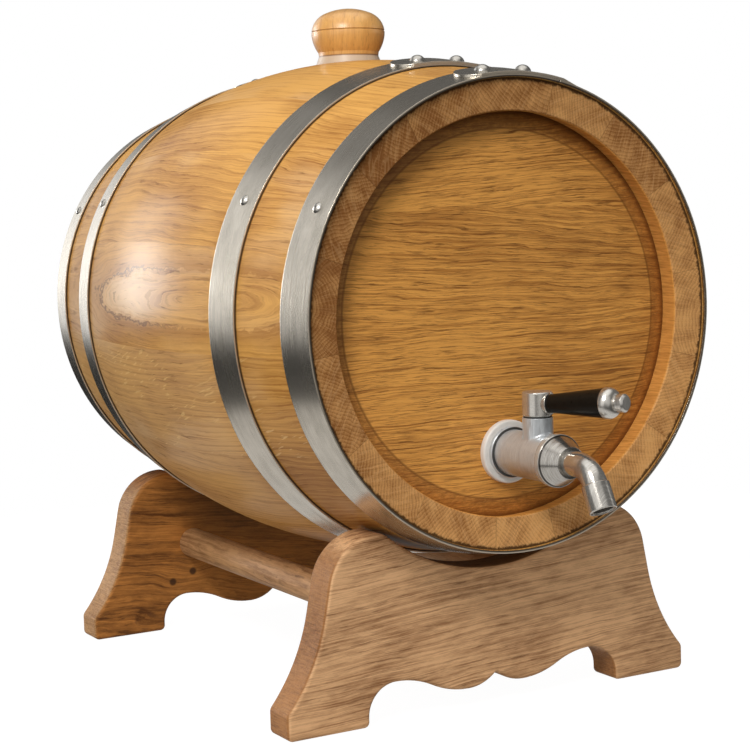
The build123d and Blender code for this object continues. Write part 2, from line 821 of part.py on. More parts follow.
os.makedirs("parts", exist_ok=True)
for name, shape in nodes.items():
    export_step(to_middle * shape, f"parts/{name}.step")
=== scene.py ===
import math

import bpy
from mathutils import Matrix, Vector

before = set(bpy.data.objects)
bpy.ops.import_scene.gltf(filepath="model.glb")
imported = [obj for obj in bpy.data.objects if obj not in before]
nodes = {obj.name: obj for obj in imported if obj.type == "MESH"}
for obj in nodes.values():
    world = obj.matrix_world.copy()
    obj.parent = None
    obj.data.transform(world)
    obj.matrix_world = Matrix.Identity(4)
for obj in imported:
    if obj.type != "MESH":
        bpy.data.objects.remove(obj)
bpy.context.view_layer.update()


# Staves: sixteen bowed oak boards jointed edge to edge, planed round outside and varnished, thinly on the
# underside. Their ends are cut square to the bow, so the rim shows end grain, darker on the upper-left
# staves and along its outer edge as painted shade. The wall between rim and head is plain but for painted
# shadow toward the upper left. Dark lines run along the hoop edges.
class Wire:
    """One socket of a material: arithmetic on it adds Math nodes, and add() makes any other node."""

    def __init__(self, tree, socket=None):
        self.tree = tree
        self.socket = socket

    def add(self, kind, inputs, out=0, **settings):
        made = self.tree.nodes.new("ShaderNode" + kind)
        for name, value in settings.items():
            setattr(made, name, value)
        for name, value in inputs.items():
            if isinstance(value, Wire):
                self.tree.links.new(value.socket, made.inputs[name])
            else:
                made.inputs[name].default_value = value
        return Wire(self.tree, made.outputs[out])

    def out(self, which):
        return Wire(self.tree, self.socket.node.outputs[which])

    def into(self, shader, name):
        self.tree.links.new(self.socket, shader.inputs[name])

    def maths(self, operation, first, second=0.0):
        return self.add("Math", {0: first, 1: second}, operation=operation)

    def __add__(self, other):
        return self.maths("ADD", self, other)

    def __sub__(self, other):
        return self.maths("SUBTRACT", self, other)

    def __rsub__(self, other):
        return self.maths("SUBTRACT", other, self)

    def __mul__(self, other):
        return self.maths("MULTIPLY", self, other)

    def __truediv__(self, other):
        return self.maths("DIVIDE", self, other)

    def __pow__(self, other):
        return self.maths("POWER", self, other)

    def __abs__(self):
        return self.maths("ABSOLUTE", self)

    __radd__ = __add__
    __rmul__ = __mul__

    def fract(self):
        return self.maths("FRACT", self)

    def within(self):
        """Held between 0 and 1."""
        return self.maths("MAXIMUM", self.maths("MINIMUM", self, 1.0), 0.0)

    def step(self, low, high):
        """A smooth rise from 0 at the low value to 1 at the high one."""
        limits = {"Value": self, "From Min": low, "From Max": high}
        return self.add("MapRange", limits, interpolation_type="SMOOTHSTEP")

    def near(self, value, inner, outer):
        """1 close to a value, fading to 0."""
        return 1 - abs(self - value).step(inner, outer)

    def blend(self, start, end):
        """A mix of two colours, with this value as the share of the second."""
        return self.add("Mix", {0: self, 6: start, 7: end}, out=2, data_type="RGBA")

    def noise(self, x, y, z, detail=2.0, rough=0.5):
        """Smooth random values about a half, at a place stretched along the grain."""
        place = self.add("CombineXYZ", {0: x, 1: y, 2: z})
        return self.add("TexNoise", {"Vector": place, "Scale": 1.0, "Detail": detail, "Roughness": rough})

    def place(self):
        """Object coordinates in millimetres."""
        spot = self.add("SeparateXYZ", {0: self.add("TexCoord", {}, out="Object")})
        return spot * 1000, spot.out(1) * 1000, spot.out(2) * 1000

    def facing(self):
        """The three parts of the surface's direction."""
        way = self.add("SeparateXYZ", {0: self.add("NewGeometry", {}, out="Normal")})
        return way, way.out(1), way.out(2)

    def relief(self, height, strength, distance):
        """The surface's direction over a pattern that stands out by a distance in metres."""
        return self.add("Bump", {"Strength": strength, "Distance": distance, "Height": height})


def new_finish(name, specular=0.5, **values):
    """An empty material with the shader's constant values set."""
    material = bpy.data.materials.new(name)
    material.use_nodes = True
    shader = material.node_tree.nodes["Principled BSDF"]
    shader.inputs["Specular IOR Level"].default_value = specular
    for socket, value in values.items():
        shader.inputs[socket.replace("_", " ").title()].default_value = value
    return material, shader, Wire(material.node_tree)


def dress(names, material):
    """The finish goes in every material slot of the named pieces."""
    for name in names:
        for slot in nodes[name].material_slots:
            slot.material = material


RING_SWAY = 26
RING_WAVER = 2.5
RING_WAVER_SHARE = 0.8
GRAIN_SLANT = -0.03
GRAIN_SLANT_MOST = 0.5


class Oak:
    """Oak as it grew: rings about a heart that leans along the board, and lines that follow the rings.

    reach is the distance from the heart, and flow the same with the slant of the sawn face. early is the
    open wood that starts each ring, fibres and lines are the fine and the coarse grain, and patch is the
    slow change of colour over the board."""

    def __init__(self, wire, across, along, deep, seed, heart, depth, lean, ring):
        sway = (wire.noise(across * 0.018, along * 0.007, deep * 0.018 + seed) - 0.5) * RING_SWAY
        waver = wire.noise(across * 0.11, along * 0.024, deep * 0.11 + seed + 7, detail=5, rough=0.54)
        level = along * lean + deep + depth + sway
        from_heart = ((across - heart) ** 2 + level**2) ** 0.5
        self.reach = from_heart + (waver - 0.5) * (RING_WAVER + ring * RING_WAVER_SHARE)
        slant = max(-GRAIN_SLANT_MOST, min(GRAIN_SLANT_MOST, heart * GRAIN_SLANT))
        self.flow = self.reach + across * slant
        rings = (self.reach / ring).fract()
        self.early = (1 - rings) ** 3 * rings.step(0, 0.08)
        self.fibres = wire.noise(self.flow * 1.1, along * 0.018, deep * 0.4 + seed + 5, detail=5, rough=0.68)
        lines = wire.noise(self.flow * 0.7, along * 0.011, deep * 0.4 + seed + 9, detail=4, rough=0.6)
        self.lines = lines.step(0.54, 0.66)
        self.patch = wire.noise(across * 0.03, along * 0.011, deep * 0.03 + seed + 20, detail=3)

    def dashes(self, wire, along, deep, thin, length, seed):
        """Open pores, thickest in the early wood."""
        marks = wire.noise(self.flow * thin, along / length, deep * 0.4 + seed + 3, detail=2)
        return marks.step(0.57, 0.66) * (self.early * 0.7 + 0.3)


BARREL_MIDDLE = 36.282
AXIS_HEIGHT = 205.424
BELLY_RADIUS = 138.0
STAVE_THICKNESS = 17.5
STRAIGHT_START = 80.0
BOW_ANGLE = math.radians(8.5)
STAVE_SLOPE = math.tan(BOW_ANGLE)
BOW_DROP = STRAIGHT_START * math.tan(BOW_ANGLE / 2)
RIM_ZONE = (140, 150)
SHOULDER_ZONE = (-100, -65)
HOOP_EDGES = (84.55, 106.25, 146.0)
HOOP_LINE = (0.1, 1.3)
LOOP_JAG = 11
LOOP_HAZE = 16
RIM_RING = 2.0
RIM_GAP_SHADE = 4.2
STAVE_GOLD = (0.72, 0.380, 0.098, 1)
STAVE_BROWN = (0.36, 0.150, 0.034, 1)
STAVE_PALE = (0.72, 0.47, 0.25, 1)
STAVE_PORE = (0.13, 0.052, 0.014, 1)
STAVE_FLECK = (0.86, 0.58, 0.24, 1)
STAVE_LOOP = (0.16, 0.066, 0.020, 1)
RIM_PALE = (0.70, 0.37, 0.135, 1)
RIM_BROWN = (0.27, 0.108, 0.033, 1)
RIM_RAY = (0.78, 0.47, 0.21, 1)
WALL_GOLD = (0.77, 0.365, 0.090, 1)
WALL_BROWN = (0.36, 0.145, 0.032, 1)
# Dark for the lines at the hoops and joints, and for painted shade on the rim's outer edge and the wall.
DARK_LINE_AND_SHADE = (0.045, 0.020, 0.008, 1)


def stave_radius(along):
    """The outer radius of the staves where they run straight, past the bow of the belly."""
    return BELLY_RADIUS - BOW_DROP - (abs(along) - STRAIGHT_START) * STAVE_SLOPE


def stave_face(wire, oak, pores, across, along, seed, tone, pale, fleck, loop):
    """The outer face: clouded gold and brown oak, with a loop of grain, pale inside as a painted sheen, or
    pale flecks on some staves.
    """
    belly = along.step(*SHOULDER_ZONE)
    brown = oak.early * 0.45 + (oak.fibres - 0.5) * 1.8 + (oak.patch - 0.5) * 2.0 + 0.20 + tone
    face = (brown + (1 - belly) * pale * 0.8).within().blend(STAVE_GOLD, STAVE_BROWN)
    clouds = wire.noise(across * 0.022, along * 0.009, seed + 60.0, detail=2).step(0.52, 0.72)
    face = (clouds * 0.42 + belly * pale).blend(face, STAVE_PALE)
    if loop:
        jag = wire.noise(across * 0.22, along * 0.13, seed + 90.0, detail=6, rough=0.7) - 0.5
        past = oak.reach + jag * LOOP_JAG - loop
        haze = (1 - past.step(0, LOOP_HAZE)) * past.step(-0.4, 0.4)
        face = (haze * 0.50).blend(face, STAVE_BROWN)
        # Painted highlight: the loop's inside is pale where the sheen falls on it.
        middle = (1 - past.step(-4, 0)) * along.step(-45, 15)
        face = (middle * 0.70).blend(face, STAVE_PALE)
        outline = past.near(0.0, 0.25, 1.0) * along.step(-75, 0)
        face = (outline * 0.85).blend(face, STAVE_LOOP)
    face = (oak.lines * 0.40).blend(face, STAVE_BROWN)
    face = (pores * 0.75).blend(face, STAVE_PORE)
    if fleck:
        strokes = wire.noise(across * 0.75 + along * 0.22, along * 0.10, seed + 30.0, detail=1)
        strewn = wire.noise(across * 0.05, along * 0.03, seed + 35.0, detail=1).step(0.42, 0.58)
        face = (strokes.step(0.62, 0.70) * strewn * fleck).blend(face, STAVE_FLECK)
    # Dark lines along the hoop edges.
    beside = sum((abs(along).near(edge, *HOOP_LINE) for edge in HOOP_EDGES), 0.0).within()
    return (beside * 0.75).blend(face, DARK_LINE_AND_SHADE)


def stave_rim(wire, dots, across, deep, seed, heart, depth, rim_tone_and_shade, half_width):
    """The sawn end: rays and rings about the stave's own heart, and a ragged dark outer edge of painted shade
    where the hoop meets it.
    """
    angle = wire.maths("ARCTAN2", across - heart, deep + depth)
    from_heart = ((across - heart) ** 2 + (deep + depth) ** 2) ** 0.5
    from_heart = from_heart + (wire.noise(across * 0.11, deep * 0.11, seed + 44.0, detail=4) - 0.5) * 4.5
    spokes = wire.noise(angle * 60, from_heart * 0.03, seed + 40.0, detail=3, rough=0.6)
    rays = wire.noise(angle * 34, from_heart * 0.03, seed + 42.0, detail=2).near(0.5, 0.004, 0.04)
    rings = (from_heart / RIM_RING).fract()
    ring_lines = (1 - rings) ** 1.6 * rings.step(0, 0.12)
    blotch = wire.noise(across * 0.08, deep * 0.08, seed + 55.0, detail=3)
    brown = ring_lines * 0.50 + (spokes - 0.5) * 0.9 + dots * 0.25 + (blotch - 0.5) * 1.6
    # The rim's tone carries painted shade on the left and top staves.
    rim = (brown + rim_tone_and_shade).within().blend(RIM_PALE, RIM_BROWN)
    rim = (rays * 0.22).blend(rim, RIM_RAY)
    beside = abs(across).step(half_width - 0.4, half_width - 0.1)
    rim = (beside * 0.3).blend(rim, DARK_LINE_AND_SHADE)
    # Painted shade: a ragged dark band along the rim's outer edge, where it meets the hoop.
    ragged = wire.noise(across * 0.35, deep * 0.2, seed + 70.0, detail=4, rough=0.7)
    gap_shade = 1 - (deep - ragged * RIM_GAP_SHADE).step(-0.9, 0.4)
    return (gap_shade * 0.9).blend(rim, DARK_LINE_AND_SHADE)


def stave_finish(name, middle_angle, half_width, seed, grown, tones, marks):
    """Varnished oak along the stave, end grain on the rim, and the wall inside it, with painted shadow toward
    the upper left.
    """
    heart, depth, lean, ring = grown
    tone, rim_tone_and_shade, pale = tones
    fleck, loop = marks
    material, shader, wire = new_finish(name, specular=0.0, coat_roughness=0.22)
    x, y, z = wire.place()
    along = y - BARREL_MIDDLE
    up = z - AXIS_HEIGHT
    turn = math.radians(middle_angle)
    side = x * math.cos(turn) - up * math.sin(turn)
    out = x * math.sin(turn) + up * math.cos(turn)
    across = wire.maths("ARCTAN2", side, out) * BELLY_RADIUS
    radius = (side**2 + out**2) ** 0.5
    deep = (stave_radius(along) - radius) * abs(along).step(*RIM_ZONE)
    oak = Oak(wire, across, along, deep, seed, heart, depth, lean, ring)
    pores = oak.dashes(wire, along, deep, thin=1.2, length=15.0, seed=seed) * oak.patch.step(0.3, 0.6)
    face = stave_face(wire, oak, pores, across, along, seed, tone, pale, fleck, loop)
    dots = wire.noise(across * 1.5, deep * 1.5, seed + 50.0, detail=2).step(0.54, 0.68)
    rim = stave_rim(wire, dots, across, deep, seed, heart, depth, rim_tone_and_shade, half_width)
    wall_lines = wire.noise(across * 0.7, along * 0.05, seed + 80.0, detail=4, rough=0.65)
    wall = ((wall_lines - 0.5) * 2.2 + 0.35).within().blend(WALL_GOLD, WALL_BROWN)
    # Painted shadow: the wall darkens toward the upper left, where the rim shades it.
    wall = ((up - x).step(30, 130) * 0.5).blend(wall, DARK_LINE_AND_SHADE)
    cut = deep.step(0.25, 0.6)
    inside = deep.step(STAVE_THICKNESS - 0.55, STAVE_THICKNESS - 0.25)
    inside.blend(cut.blend(face, rim), wall).into(shader, "Base Color")
    (0.45 + (oak.fibres - 0.5) * 0.3 + pores * 0.2 + cut * 0.2).within().into(shader, "Roughness")
    worn = 1 - wire.facing()[2].step(-0.95, -0.35)
    (0.45 - pores * 0.2 - cut * 0.42 - worn * 0.3).within().into(shader, "Coat Weight")
    height = oak.fibres * 0.4 - pores * 1.0 - oak.early * 0.2 - cut * dots * 0.3
    wire.relief(height, strength=0.35, distance=0.0004).into(shader, "Normal")
    return material


STAVE_WIDTHS = (25, 20, 24, 25, 23, 23, 23, 20, 18, 25, 25, 25, 24, 23, 18, 19)
STAVE_HEARTS = (34, 55, -45, 70, 5, 60, -60, 40, 55, -50, 62, -75, 0, 80, 95, -62)
STAVE_DEPTHS = (40, 30, 45, 60, 30, 40, 50, 30, 45, 35, 50, 62, 7.7, 70, 60, 45)
STAVE_LEANS = (
    *(0.10, 0.02, 0.06, -0.04, 0.14, 0.03, 0.05, -0.08),
    *(0.02, 0.07, 0.02, 0.03, 0.13, 0.04, -0.02, 0.05),
)
STAVE_RINGS = (3.4, 3.0, 3.6, 3.2, 4.4, 3.4, 3.0, 3.4, 3.2, 3.0, 3.2, 3.4, 4.6, 5.0, 3.6, 3.8)
STAVE_TONES = (
    *(-0.16, 0.05, -0.04, 0.03, 0.0, 0.06, 0.02, 0.0),
    *(0.04, 0.18, 0.22, 0.12, 0.02, 0.12, 0.06, -0.14),
)
STAVE_PALES = (0.0, 0.0, 0.1, 0.0, 0.05, 0.0, 0.1, 0.0, 0.1, 0.20, 0.32, 0.38, 0.08, 0.0, -0.2, 0.05)
# Each rim's tone: the staves at the left and top are darker as painted shade, the others vary from stave to
# stave.
RIM_TONES_AND_SHADE = (
    *(0.38, 0.20, 0.34, 0.14, 0.06, 0.16, 0.04, 0.24),
    *(0.06, 0.24, 0.20, 0.46, 0.64, 0.52, 0.70, 0.46),
)
STAVE_FLECKS = (0, 0, 0, 0, 0.4, 0, 0, 0, 0.3, 0, 0, 0.5, 0, 0, 0, 0)
STAVE_LOOPS = (0, 0, 0, 0, 20.0, 0, 0, 0, 0, 0, 0, 0, 15.5, 0, 0, 0)
FIRST_JOINT = -13.0
FIRST_SEED = 2.0
SEED_STEP = 13.7
joint = FIRST_JOINT
for number, width in enumerate(STAVE_WIDTHS):
    piece = "bung_stave" if number == 0 else f"stave_{number + 1:02d}"
    middle = joint + width / 2
    half = math.radians(width / 2) * BELLY_RADIUS
    seed = number * SEED_STEP + FIRST_SEED
    grown = (STAVE_HEARTS[number], STAVE_DEPTHS[number], STAVE_LEANS[number], STAVE_RINGS[number])
    tones = (STAVE_TONES[number], RIM_TONES_AND_SHADE[number], STAVE_PALES[number])
    marks = (STAVE_FLECKS[number], STAVE_LOOPS[number])
    dress([piece], stave_finish(f"varnished_{piece}", middle, half, seed, grown, tones, marks))
    joint += width


# Heads: four level oak boards to each end, pinned edge to edge, bevelled round the rim and sprung into the
# groove of the staves. The grain runs from side to side under a thin varnish.
HEAD_FLAT_RADIUS = 94.07
HEAD_WALL_RADIUS = 104.0
HEAD_SHADE_DRIFT = 0.0026
HEAD_GOLD = (0.82, 0.390, 0.088, 1)
HEAD_BROWN = (0.34, 0.130, 0.026, 1)
HEAD_PORE_AND_SHADE = (0.15, 0.055, 0.012, 1)
BEVEL_BROWN = (0.30, 0.120, 0.028, 1)


def axis_distance(x, z):
    """How far a point lies from the barrel's axis."""
    return (x**2 + (z - AXIS_HEIGHT) ** 2) ** 0.5


def head_finish(name, middle_height, seed, heart, depth, lean, ring, tone):
    """Golden oak with short dark pores, lying from side to side, browner on the bevel, with painted shade
    along the rim, in its upper-left corner and towards the right.
    """
    material, shader, wire = new_finish(name, specular=0.15, coat_weight=0.10, coat_roughness=0.3)
    x, y, z = wire.place()
    across = z - (AXIS_HEIGHT + middle_height)
    radius = axis_distance(x, z)
    deep = (y - BARREL_MIDDLE) * 0.5
    oak = Oak(wire, across, x, deep, seed, heart, depth, lean, ring)
    pores = oak.dashes(wire, x, deep, thin=1.1, length=17.0, seed=seed)
    fine = wire.noise(oak.flow * 1.5, x / 14, deep + seed + 14.0, detail=4, rough=0.65).step(0.53, 0.66)
    brown = oak.early * 0.45 + (oak.fibres - 0.5) * 2.4 + (oak.patch - 0.5) * 1.7 + 0.14 + tone
    # Painted shade: the boards grow browner towards the right, as the light falls off.
    board = (brown + x * HEAD_SHADE_DRIFT).within().blend(HEAD_GOLD, HEAD_BROWN)
    board = (oak.lines * 0.75).blend(board, HEAD_BROWN)
    board = (pores * 0.95).blend(board, HEAD_PORE_AND_SHADE)
    board = (fine * 0.62).blend(board, HEAD_PORE_AND_SHADE)
    bevel = radius.step(HEAD_FLAT_RADIUS - 0.3, HEAD_FLAT_RADIUS + 0.3)
    hatch = wire.noise(x * 0.25 + across * 0.3, across * 0.5 - x * 0.2, seed + 45.0, detail=4, rough=0.65)
    board = (bevel * ((hatch - 0.5) * 1.8 + 0.42).within()).blend(board, BEVEL_BROWN)
    board = (radius.near(HEAD_FLAT_RADIUS, 0.2, 0.9) * 0.5).blend(board, HEAD_PORE_AND_SHADE)
    # Painted shade: the head darkens next to the wall all round, and more in the upper-left corner of the
    # recess.
    board = (radius.step(HEAD_WALL_RADIUS - 4.5, HEAD_WALL_RADIUS - 0.5) * 0.75).blend(board, HEAD_PORE_AND_SHADE)
    painted_recess_shadow = radius.step(HEAD_FLAT_RADIUS - 8, HEAD_WALL_RADIUS) * (z - AXIS_HEIGHT - x).step(20, 130)
    board = (painted_recess_shadow * 0.65).blend(board, HEAD_PORE_AND_SHADE)
    board.into(shader, "Base Color")
    (0.45 + (oak.fibres - 0.5) * 0.3 + pores * 0.15).within().into(shader, "Roughness")
    height = oak.fibres * 0.6 - pores * 1.0 - fine * 0.6 - oak.early * 0.2
    wire.relief(height, strength=0.45, distance=0.0005).into(shader, "Normal")
    return material


# Each board has its middle's height above the axis, its seed, and the heart, depth, lean, ring and tone
# of its wood.
HEAD_BOARDS = (
    ("head_board_1", -80.0, 3.1, 60.0, 40.0, 0.02, 3.2, 0.0),
    ("head_board_2", -27.0, 17.3, -70.0, 50.0, 0.03, 3.6, 0.0),
    ("head_board_3", 27.0, 29.9, 62.0, 40.0, 0.14, 5.2, 0.02),
    ("head_board_4", 80.0, 43.7, -72.0, 36.0, 0.10, 4.4, 0.0),
)
HEAD_SEEDS = (("front", 0.0), ("rear", 90.0))
for board, height, seed, heart, depth, lean, ring, tone in HEAD_BOARDS:
    for end, shift in HEAD_SEEDS:
        grain = head_finish(f"{end}_{board}_oak", height, seed + shift, heart, depth, lean, ring, tone)
        dress([f"{end}_{board}"], grain)
pin_oak = head_finish("head_pin_oak", 0.0, seed=5.0, heart=90.0, depth=40.0, lean=0.0, ring=3.0, tone=0.0)
dress(["front_head_pins", "rear_head_pins"], pin_oak)


# Hoops: strips of stainless steel rolled to the taper of the staves, brushed along their length, lapped at
# the top and riveted. The edges are broken, and their faces carry a painted highlight over painted shade.
EASE_SAMPLES = 6


def eased_edges(wire, radius):
    """The surface's direction, turned over at the edges by a radius in metres."""
    return wire.add("Bevel", {"Radius": radius}, samples=EASE_SAMPLES)


def brushed_normal(wire, lines, axis, spread, edge):
    """The surface's direction, softened at the edges and spread across the brush lines."""
    push = wire.add("VectorMath", {0: axis, "Scale": (lines - 0.5) * spread}, operation="SCALE")
    leaned = wire.add("VectorMath", {0: eased_edges(wire, edge), 1: push}, operation="ADD")
    return wire.add("VectorMath", {0: leaned}, operation="NORMALIZE")


HOOP_THICKNESS = 1.4
HOOP_EASE = 0.0006
HOOP_SPREAD = 0.35
ALONG_BARREL = (0.0, 1.0, 0.0)
HOOP_GREY = (0.66, 0.61, 0.53, 1)
HOOP_DARK = (0.40, 0.365, 0.305, 1)
HOOP_EDGE_HIGHLIGHT = (0.70, 0.61, 0.49, 1)
HOOP_EDGE_SHADE = (0.10, 0.075, 0.05, 1)
hoop_steel, shader, wire = new_finish("brushed_hoop_steel", metallic=1.0)
x, y, z = wire.place()
run = wire.maths("ARCTAN2", x, z - AXIS_HEIGHT) * BELLY_RADIUS
lines = wire.noise(run * 0.016, y * 4.5, 0.0, detail=5, rough=0.72)
smudge = wire.noise(run * 0.05, y * 0.09, 4.0, detail=4, rough=0.6)
shade = ((lines - 0.5) * 2.6 + (smudge - 0.5) * 1.6 + 0.42).within()
steel = shade.blend(HOOP_GREY, HOOP_DARK)
rim_side = abs(wire.facing()[1]).step(0.75, 0.92)
proud = axis_distance(x, z) - stave_radius(y - BARREL_MIDDLE)
# Painted highlight and shade: the upper part of each edge face is pale, the part by the wood dark.
edge = proud.step(HOOP_THICKNESS * 0.35, HOOP_THICKNESS * 0.7).blend(HOOP_EDGE_SHADE, HOOP_EDGE_HIGHLIGHT)
(rim_side * 0.9).blend(steel, edge).into(shader, "Base Color")
(0.14 + lines * 0.12 + smudge * 0.12 + rim_side * 0.2).into(shader, "Roughness")
brushed_normal(wire, lines, ALONG_BARREL, HOOP_SPREAD, HOOP_EASE).into(shader, "Normal")
dress(["front_head_hoop", "front_quarter_hoop", "rear_quarter_hoop", "rear_head_hoop"], hoop_steel)


# Rivets and nails: plain domed steel, hammered and a little dull, two rivets through each lap and a nail
# at each side of every hoop.
RIVET_GREY = (0.50, 0.48, 0.44, 1)
RIVET_LIGHT = (0.66, 0.64, 0.60, 1)
rivet_steel, shader, wire = new_finish("hammered_rivet_steel", metallic=1.0)
x, y, z = wire.place()
dents = wire.noise(x * 0.5, y * 0.5, z * 0.5, detail=3)
dents.blend(RIVET_GREY, RIVET_LIGHT).into(shader, "Base Color")
(0.20 + dents * 0.18).into(shader, "Roughness")
wire.relief(dents, strength=0.2, distance=0.0004).into(shader, "Normal")
dress(["hoop_rivets", "hoop_nails"], rivet_steel)


# Bung: turned from one piece of pale hardwood, varnished, with a fine line cut round the knob. Its tapered
# plug sits loose in the hole of the top stave.
BUNG_SKIRT_TOP = 346.8
BUNG_LINE = 361.0
BUNG_GOLD = (0.84, 0.47, 0.140, 1)
BUNG_BROWN = (0.58, 0.260, 0.060, 1)
BUNG_SKIRT_SHEEN = (0.58, 0.50, 0.41, 1)
BUNG_CUT = (0.16, 0.06, 0.018, 1)
bung_wood, shader, wire = new_finish("turned_bung_wood", specular=0.35, coat_weight=1.0, coat_roughness=0.40)
x, y, z = wire.place()
oak = Oak(wire, x, z, y - BARREL_MIDDLE, seed=61.0, heart=34.0, depth=20.0, lean=0.05, ring=7.0)
specks = oak.dashes(wire, z, y, thin=1.0, length=6.0, seed=66.0)
brown = (oak.early * 0.35 + (oak.fibres - 0.5) * 1.6 + (oak.patch - 0.5) * 0.8 + 0.32).within()
knob = (specks * 0.35).blend(brown.blend(BUNG_GOLD, BUNG_BROWN), BUNG_CUT)
knob = (z.near(BUNG_LINE, 0.1, 0.45) * 0.4).blend(knob, BUNG_CUT)
# Painted sheen: the skirt below the neck is pale grey, as a broad highlight on the wood.
skirt_sheen = 1 - z.step(BUNG_SKIRT_TOP - 0.3, BUNG_SKIRT_TOP + 0.3)
knob = (skirt_sheen * 0.75).blend(knob, BUNG_SKIRT_SHEEN)
knob = (z.near(BUNG_SKIRT_TOP, 0.1, 0.7) * 0.7).blend(knob, BUNG_CUT)
knob.into(shader, "Base Color")
(0.30 + (oak.fibres - 0.5) * 0.2).into(shader, "Roughness")
wire.relief(oak.fibres, strength=0.12, distance=0.0003).into(shader, "Normal")
dress(["bung"], bung_wood)


# Cradle: two boards sawn to shape from light oak and two turned dowels glued in blind holes between them.
# The edges are eased by hand and the wood is left matte, with painted shadow on the saddles and on the rear
# board under the barrel. The rear board has two small knots. Each oak below is its light and dark, then the
# light and dark of its sawn ends.
FRONT_OAK = (
    (0.76, 0.455, 0.235, 1),
    (0.28, 0.130, 0.052, 1),
    (0.37, 0.160, 0.048, 1),
    (0.155, 0.057, 0.016, 1),
)
REAR_OAK = (
    (0.52, 0.215, 0.050, 1),
    (0.11, 0.038, 0.008, 1),
    (0.54, 0.305, 0.130, 1),
    (0.24, 0.110, 0.040, 1),
)
DOWEL_OAK = (
    (0.54, 0.300, 0.135, 1),
    (0.22, 0.100, 0.038, 1),
    (0.40, 0.195, 0.078, 1),
    (0.17, 0.070, 0.024, 1),
)
CRADLE_PORE = (0.12, 0.050, 0.018, 1)
KNOT_AND_SHADOW_BROWN = (0.045, 0.018, 0.007, 1)
KNOTS = ((-71.0, 29.8), (-57.2, 35.0))
KNOT_PUSH = 2.5
CRADLE_DEPTH = 60.0
SADDLE_HALF = 62.0
SADDLE_SHADOW_FADE = 12


def cradle_finish(name, oak_colours, seed, heart, lean, ring, tilt=0.0, along_y=False, knots=()):
    """Open-grained matte oak, along X on the boards and along Y on the dowels, with its sawn ends and painted
    shadow under the barrel on the boards.
    """
    tan, dark, sawn_tan, sawn_brown = oak_colours
    material, shader, wire = new_finish(name, specular=0.2)
    x, y, z = wire.place()
    lay = math.radians(tilt)
    along = y if along_y else x * math.cos(lay) + z * math.sin(lay)
    deep = x if along_y else y
    rise = z if along_y else z * math.cos(lay) - x * math.sin(lay)
    apart = [((x - knot_x) ** 2 + (z - knot_z) ** 2) ** 0.5 for knot_x, knot_z in knots]
    across = sum((1 - gap.step(2.0, 14.0) for gap in apart), 0.0) * KNOT_PUSH + rise
    oak = Oak(wire, across, along, deep, seed, heart, CRADLE_DEPTH, lean, ring)
    pores = oak.dashes(wire, along, deep, thin=1.1, length=12.0, seed=seed) * oak.patch.step(0.3, 0.6)
    streaks = wire.noise(across * 0.22, along * 0.06, deep * 0.1 + seed + 16, detail=5, rough=0.65)
    brown = oak.early * 0.35 + (oak.fibres - 0.5) * 2.4 + (oak.patch - 0.5) * 1.6 + (streaks - 0.5) * 1.5
    wood = (brown + 0.26).within().blend(tan, dark)
    wood = (oak.lines * 0.25).blend(wood, dark)
    wood = (pores * 0.80).blend(wood, CRADLE_PORE)
    end = abs(wire.facing()[1 if along_y else 0]).step(0.55, 0.85)
    specks = wire.noise(deep * 1.3, z * 0.5, along * 0.1 + seed, detail=4, rough=0.65)
    cross = wire.noise(deep * 0.12, z * 1.4, along * 0.1 + seed + 6, detail=3, rough=0.6)
    sawn = ((specks - 0.5) * 1.7 + (cross - 0.5) * 2.4 + (oak.patch - 0.5) * 1.2 + 0.34).within()
    wood = (end * 0.9).blend(wood, sawn.blend(sawn_tan, sawn_brown))
    # Painted shadow: the saddles' upward faces are dark where the barrel shades them.
    if not along_y:
        painted_saddle_shadow = wire.facing()[2].step(0.7, 0.9) * (1 - abs(x).step(SADDLE_HALF - SADDLE_SHADOW_FADE, SADDLE_HALF))
        wood = (painted_saddle_shadow * 0.8).blend(wood, KNOT_AND_SHADOW_BROWN)
    # Painted shadow: the rear board, the one with knots, darkens under the barrel.
    if knots:
        under = (1 - axis_distance(x, z).step(130, 175)) * x.step(-80, -35)
        wood = (under * 0.6).blend(wood, KNOT_AND_SHADOW_BROWN)
    for gap in apart:
        wood = ((1 - gap.step(1.5, 3.0)) * 0.9).blend(wood, KNOT_AND_SHADOW_BROWN)
    wood.into(shader, "Base Color")
    (0.58 + (oak.fibres - 0.5) * 0.3).within().into(shader, "Roughness")
    height = oak.fibres * 0.5 - pores * 0.9
    wire.relief(height, strength=0.45, distance=0.0005).into(shader, "Normal")
    return material


front_board_oak = cradle_finish(
    "front_board_oak", FRONT_OAK, seed=71.0, heart=190.0, lean=0.05, ring=3.6, tilt=4.0
)
rear_board_oak = cradle_finish(
    "rear_board_oak", REAR_OAK, seed=83.0, heart=-60.0, lean=0.06, ring=4.2, tilt=-3.0, knots=KNOTS
)
dowel_oak = cradle_finish(
    "dowel_oak", DOWEL_OAK, seed=97.0, heart=20.0, lean=0.04, ring=3.2, along_y=True
)
dress(["cradle_front_board"], front_board_oak)
dress(["cradle_rear_board"], rear_board_oak)
dress(["cradle_left_dowel", "cradle_right_dowel"], dowel_oak)


